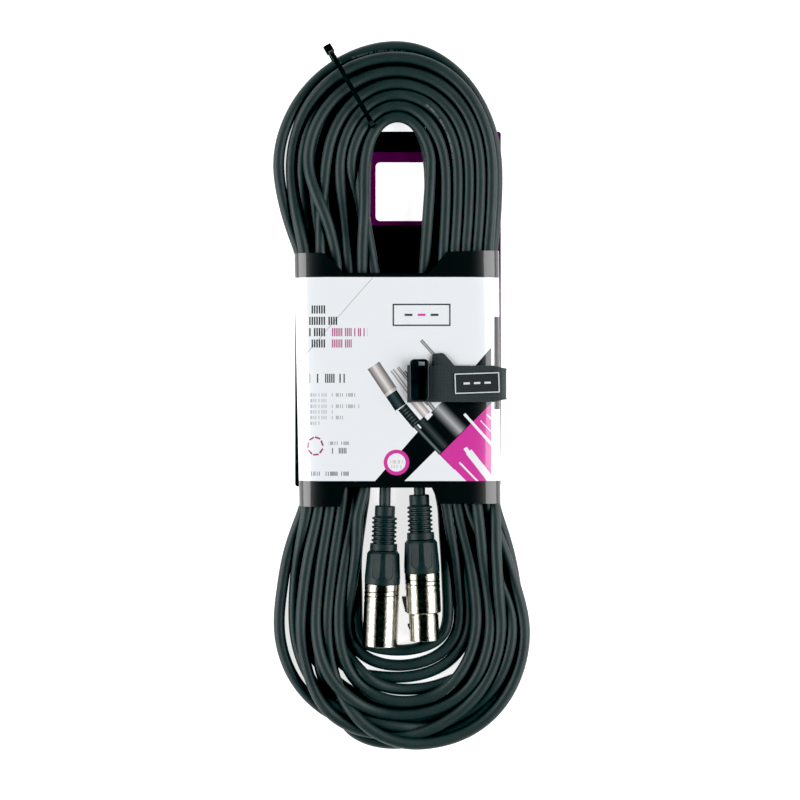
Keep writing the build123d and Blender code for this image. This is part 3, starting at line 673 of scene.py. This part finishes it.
def node_materials():
    """The material of each CAD node that shows as it is, apart from the cable tie."""
    nickel = nickel_material()
    rubber = moulded_material("boot_rubber", (0.008, 0.016, 0.017), (0.015, 0.026, 0.027), 0.46)
    bushing = moulded_material("bushing_plastic", (0.008, 0.016, 0.017), (0.015, 0.027, 0.028), 0.42)
    insert = moulded_material("insert_plastic", (0.012, 0.012, 0.013), (0.022, 0.022, 0.024), 0.34)
    chuck = moulded_material("chuck_nylon", (0.50, 0.50, 0.47), (0.62, 0.61, 0.57), 0.5)
    contact = metal_material("contact_metal", (0.60, 0.59, 0.55), (0.80, 0.79, 0.74), 0.2)
    latch = metal_material("latch_metal", (0.50, 0.48, 0.45), (0.72, 0.70, 0.66), 0.24)
    spring = metal_material("spring_steel", (0.35, 0.35, 0.36), (0.55, 0.55, 0.56), 0.3)
    copper = metal_material("bare_copper", (0.72, 0.36, 0.22), (0.90, 0.50, 0.33), 0.3)
    red = moulded_material("red_wire", (0.40, 0.015, 0.012), (0.52, 0.025, 0.02), 0.42)
    white = moulded_material("white_wire", (0.70, 0.70, 0.68), (0.80, 0.80, 0.78), 0.42)
    buckle = moulded_material("buckle_plastic", (0.006, 0.008, 0.009), (0.012, 0.015, 0.016), 0.2, 0.03)
    endings = {
        "shell": nickel, "insert": insert, "chuck": chuck, "bushing": bushing, "boot": rubber,
        "pin_1": contact, "pin_2": contact, "pin_3": contact, "socket_1": contact,
        "socket_2": contact, "socket_3": contact, "shield_wire": copper, "hot_wire": red,
        "cold_wire": white,
    }
    chosen = {f"{side}_{ending}": material for side in ("male", "female")
              for ending, material in endings.items()}
    chosen.update({
        "female_latch": latch, "latch_pin": spring, "latch_spring": spring,
        "back_card": card_material(), "strap_buckle": buckle, "strap_label": label_material(),
    })
    return chosen


def dress_nodes():
    for name, material in node_materials().items():
        if name in NODES:
            NODES[name].material_slots[0].material = material


# ---- meshes made of rings of points ----

def mesh_piece(name, vertices, faces, material, replaces=()):
    """A smooth-shaded mesh piece from points in millimetres."""
    mesh = bpy.data.meshes.new(name)
    mesh.from_pydata([Vector(v) * MM for v in vertices], [], faces)
    mesh.validate()
    mesh.materials.append(material)
    mesh.shade_smooth()
    piece = bpy.data.objects.new(name, mesh)
    bpy.context.collection.objects.link(piece)
    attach(piece, "root")
    if replaces:
        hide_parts(*replaces)
    return piece


def joined_rings(rings, closed):
    """Quads between rings of equal length; closed joins the last to the first, else caps both."""
    size = len(rings[0])
    vertices = [point for ring in rings for point in ring]
    faces = []
    last = len(rings) if closed else len(rings) - 1
    for a in range(last):
        b = (a + 1) % len(rings)
        for i in range(size):
            j = (i + 1) % size
            faces.append((a * size + i, a * size + j, b * size + j, b * size + i))
    if not closed:
        faces.append(tuple(range(size))[::-1])
        faces.append(tuple((len(rings) - 1) * size + i for i in range(size)))
    return vertices, faces


def rounded_loop(left, right, low, high, radii, step):
    """Points and outward normals round a rectangle whose corners are arcs.

    radii are for the lower right, upper right, upper left and lower left corners.
    """
    corners = [
        (right, low, -90, radii[0], (-1, 1)), (right, high, 0, radii[1], (-1, -1)),
        (left, high, 90, radii[2], (1, -1)), (left, low, 180, radii[3], (1, 1)),
    ]
    points = []
    for x, z, start, radius, (sx, sz) in corners:
        centre = (x + sx * radius, z + sz * radius)
        for i in range(9):
            angle = math.radians(start + 90 * i / 8)
            c, s = math.cos(angle), math.sin(angle)
            points.append((centre[0] + radius * c, centre[1] + radius * s, c, s))
    filled = []
    for a, b in zip(points, points[1:] + points[:1]):
        count = max(1, int(math.hypot(b[0] - a[0], b[1] - a[1]) / step))
        for i in range(count):
            share = i / count
            filled.append(tuple(p + (q - p) * share for p, q in zip(a, b)))
    return filled


# ---- sleeve ----

LOWER_CORNER_R = 4.0
UPPER_EDGE = [(-60.0, 76.3), (-40.5, 76.3), (-30.1, 65.4), (14.9, 65.4), (25.2, 76.8), (60.0, 77.9)]
LOWER_EDGE = [(-60.0, -60.5), (-32.3, -60.5), (-29.6, -50.2), (17.1, -50.2), (20.9, -58.9), (60.0, -58.9)]
SLOT_X, SLOT_Y = (3.9, 6.0), (-4.4, 15.8)
SLEEVE_ROWS = 44


def edge_height(edge, x):
    return float(np.interp(x, [p[0] for p in edge], [p[1] for p in edge]))


def sleeve_side(x_sign, y):
    share = (y - SLEEVE_LOW_Y) / SLEEVE_LENGTH
    if x_sign < 0:
        return -SIDE_REACH - LEFT_WIDENING * share
    return SIDE_REACH - RIGHT_NARROWING * share


def front_columns():
    """Places across the flat front: the corners of its outline and steps between them."""
    corners = [-SHOULDER_START, -32.3, -30.1, -29.6, SLOT_X[0], SLOT_X[1], 14.9, 17.1, 20.9, 25.2,
               SHOULDER_START]
    columns = []
    for a, b in zip(corners, corners[1:]):
        count = max(1, round((b - a) / 3.2))
        columns += [a + (b - a) * i / count for i in range(count)]
    return columns + [SHOULDER_START]


def sleeve_columns():
    """Round the sleeve once: each column is the kind of place and where it is within it."""
    front = front_columns()
    shoulder = [i / 12 for i in range(1, 12)]
    side = [i / 3 for i in range(4)]
    corner = [i / 5 for i in range(1, 6)]
    columns = [("front", x) for x in front]
    columns += [("right shoulder", s) for s in shoulder]
    columns += [("right side", s) for s in side]
    columns += [("right corner", s) for s in corner]
    columns += [("back", x) for x in front[::-1]]
    columns += [("left corner", s) for s in corner[::-1]]
    columns += [("left side", s) for s in side[::-1]]
    columns += [("left shoulder", s) for s in shoulder[::-1]]
    return columns


def sleeve_point(kind, value, y):
    """(x, z) of one column at height y along the sleeve."""
    sign = -1 if kind.startswith("left") else 1
    reach = abs(sleeve_side(sign, y))
    wave = 0.3 * math.sin(y / 19.0 + sign) + 0.12 * math.sin(y / 8.3 + 2 * sign)
    if kind == "front":
        dip = 0.5 * math.exp(-((value + 2) / 16) ** 2)
        ripple = 0.06 * math.sin(value / 5.2) * math.sin(y / 21.0 + value / 30.0)
        return value, SLEEVE_CROWN - dip + ripple
    if kind == "back":
        return value, SLEEVE_BASE
    if kind.endswith("shoulder"):
        angle = value * math.pi / 2
        start = SHOULDER_START
        bulge = wave * math.sin(2 * angle) * 0.5
        x = start + (reach - start) * math.sin(angle) + bulge
        z = SLEEVE_CROWN - SHOULDER_DROP * (1 - math.cos(angle)) + bulge
        return sign * min(x, reach), z
    if kind.endswith("side"):
        high = SLEEVE_CROWN - SHOULDER_DROP
        low = SLEEVE_BASE + LOWER_CORNER_R
        return sign * reach, high + (low - high) * value
    angle = value * math.pi / 2
    x = reach - LOWER_CORNER_R * (1 - math.cos(angle))
    return sign * x, SLEEVE_BASE + LOWER_CORNER_R * (1 - math.sin(angle))


def sleeve_rows():
    """Shares of the way from the lower to the upper edge, with the strap slot's ends among them."""
    x = sum(SLOT_X) / 2
    low, high = edge_height(LOWER_EDGE, x), edge_height(UPPER_EDGE, x)
    slot = [(y - low) / (high - low) for y in SLOT_Y]
    rows = [i / SLEEVE_ROWS for i in range(SLEEVE_ROWS + 1)]
    rows = [r for r in rows if min(abs(r - s) for s in slot) > 0.008] + slot
    return sorted(rows), slot


def add_sleeve():
    columns = sleeve_columns()
    rows, slot = sleeve_rows()
    vertices = []
    for row in rows:
        for kind, value in columns:
            x, _ = sleeve_point(kind, value, 0.0)
            low, high = edge_height(LOWER_EDGE, x), edge_height(UPPER_EDGE, x)
            y = low + (high - low) * row
            x, z = sleeve_point(kind, value, y)
            vertices.append((x, y, z))
    faces = []
    size = len(columns)
    for a, (low, high) in enumerate(zip(rows, rows[1:])):
        for i in range(size):
            j = (i + 1) % size
            kinds = columns[i][0], columns[j][0]
            places = columns[i][1], columns[j][1]
            in_slot = kinds[0] == kinds[1] and kinds[0] in ("front", "back")
            in_slot = in_slot and min(places) >= SLOT_X[0] and max(places) <= SLOT_X[1]
            if in_slot and low >= slot[0] - 1e-6 and high <= slot[1] + 1e-6:
                continue
            faces.append((a * size + i, a * size + j, (a + 1) * size + j, (a + 1) * size + i))
    piece = mesh_piece("printed_sleeve", vertices, faces, sleeve_material(),
                       replaces=["card_sleeve"])
    wall = piece.modifiers.new("wall", "SOLIDIFY")
    wall.thickness = SLEEVE_T * MM
    wall.offset = -1.0
    edges = piece.modifiers.new("cut edges", "EDGE_SPLIT")
    edges.split_angle = math.radians(40)


# ---- hook-and-loop strap ----

STRAP_LEFT, STRAP_RIGHT, STRAP_LOW, STRAP_HIGH = 4.2, 57.8, 1.1, 17.9
STRAP_T, STRAP_W, STRAP_Y = 1.5, 19.6, 5.7
STRAP_RADII = (8.0, 8.0, 2.2, 2.2)


def strap_section():
    """The strap's cross-section outline as (share of half width, depth below the face)."""
    edge = [(1.0, 0.5 * STRAP_T), (0.99, 0.24 * STRAP_T), (0.965, 0.06), (0.93, 0.0), (0.885, 0.0),
            (0.86, 0.16), (0.82, 0.2)]
    inner = [(i / 5 * 0.8, 0.2) for i in range(4, -5, -1)]
    upper = edge + inner + [(-x, d) for x, d in edge[::-1]]
    lower = [(x, STRAP_T - d) for x, d in upper[::-1][1:-1]]
    return upper + lower


def strap_narrowing(x):
    """The strap pulls in a little where it turns round the right side."""
    return 1.0 - 0.13 * float(ease(np.array(x), 50.0, 57.5))


def add_strap():
    path = rounded_loop(STRAP_LEFT, STRAP_RIGHT, STRAP_LOW, STRAP_HIGH, STRAP_RADII, 1.6)
    section = strap_section()
    rings = []
    for x, z, nx, nz in path:
        half = STRAP_W / 2 * strap_narrowing(x)
        rings.append([(x - nx * d, STRAP_Y + s * half, z - nz * d) for s, d in section])
    vertices, faces = joined_rings(rings, closed=True)
    webbing = webbing_material()
    mesh_piece("strap", vertices, faces, webbing, replaces=["tie_strap"])
    add_tongue(webbing)


def add_tongue(material):
    """The slanting end of the strap that shows above its band."""
    outline = [(17.0, 13.6), (29.2, 13.6), (29.4, 15.4), (28.6, 16.4), (23.6, 22.0), (22.4, 22.3),
               (18.3, 21.9), (17.3, 20.8)]
    top, low = STRAP_HIGH - 0.35, STRAP_HIGH - 1.2
    rings = []
    for height, inset in ((low, 0.25), (low + 0.2, 0.0), (top - 0.2, 0.0), (top, 0.25)):
        middle = [sum(column) / len(outline) for column in zip(*outline)]
        ring = []
        for x, y in outline:
            away = Vector((x - middle[0], y - middle[1])).normalized() * inset
            ring.append((x - away.x, y - away.y, height))
        rings.append(ring)
    vertices, faces = joined_rings(rings, closed=False)
    mesh_piece("strap_tongue", vertices, faces, material)


# ---- cable tie ----

def dress_tie():
    NODES["zip_tie"].material_slots[0].material = moulded_material(
        "tie_nylon", (0.006, 0.007, 0.007), (0.012, 0.014, 0.014), 0.24, 0.04)


# ---- light and floor ----

def add_area(name, place, size, power):
    """A soft box at a place in metres, turned to face the object."""
    data = bpy.data.lights.new(name, "AREA")
    data.shape = "RECTANGLE"
    data.size, data.size_y = size
    data.energy = power
    light = bpy.data.objects.new(name, data)
    light.location = place
    light.rotation_euler = (-Vector(place)).to_track_quat("-Z", "Y").to_euler()
    bpy.context.collection.objects.link(light)


def add_studio():
    """Two large soft boxes, a dark ceiling and a pale horizon, and a tone curve with deep blacks."""
    add_area("left_box", (-1.0, 0.0, 0.54), (1.6, 0.70), 16.0)
    add_area("right_box", (1.0, 0.0, 0.64), (1.6, 0.90), 19.0)
    world = bpy.data.worlds.new("studio")
    world.use_nodes = True
    tree = world.node_tree
    where = tree.nodes.new("ShaderNodeTexCoord")
    split = tree.nodes.new("ShaderNodeSeparateXYZ")
    ramp = tree.nodes.new("ShaderNodeValToRGB")
    ramp.color_ramp.elements[0].color = (1.0, 1.0, 1.0, 1)
    ramp.color_ramp.elements[0].position = 0.0
    ramp.color_ramp.elements[1].color = (0.05, 0.05, 0.052, 1)
    ramp.color_ramp.elements[1].position = 0.7
    tree.links.new(where.outputs["Generated"], split.inputs[0])
    tree.links.new(split.outputs[2], ramp.inputs[0])
    tree.links.new(ramp.outputs[0], tree.nodes["Background"].inputs[0])
    tree.nodes["Background"].inputs[1].default_value = 0.7
    bpy.context.scene.world = world
    view = bpy.context.scene.view_settings
    view.view_transform = "Standard"
    view.use_curve_mapping = True
    view.curve_mapping.black_level = (0.014, 0.011, 0.011)
    view.curve_mapping.update()


FLOOR_HALF_M = 2.0


def add_floor():
    """A white floor that glows a little, so that shadows on it stay pale."""
    paint = Paint("floor", (0.95, 0.95, 0.95), Roughness=0.9, Specular_IOR_Level=0.1,
                  Emission_Color=(1.0, 1.0, 1.0, 1.0), Emission_Strength=0.75)
    mesh = bpy.data.meshes.new("floor")
    half = FLOOR_HALF_M
    corners = [(-half, -half, 0), (half, -half, 0), (half, half, 0), (-half, half, 0)]
    mesh.from_pydata(corners, [], [(0, 1, 2, 3)])
    mesh.materials.append(paint.material)
    floor = bpy.data.objects.new("floor", mesh)
    bpy.context.collection.objects.link(floor)


add_camera()
add_cable()
add_sleeve()
add_strap()
dress_nodes()
dress_tie()
add_studio()
add_floor()
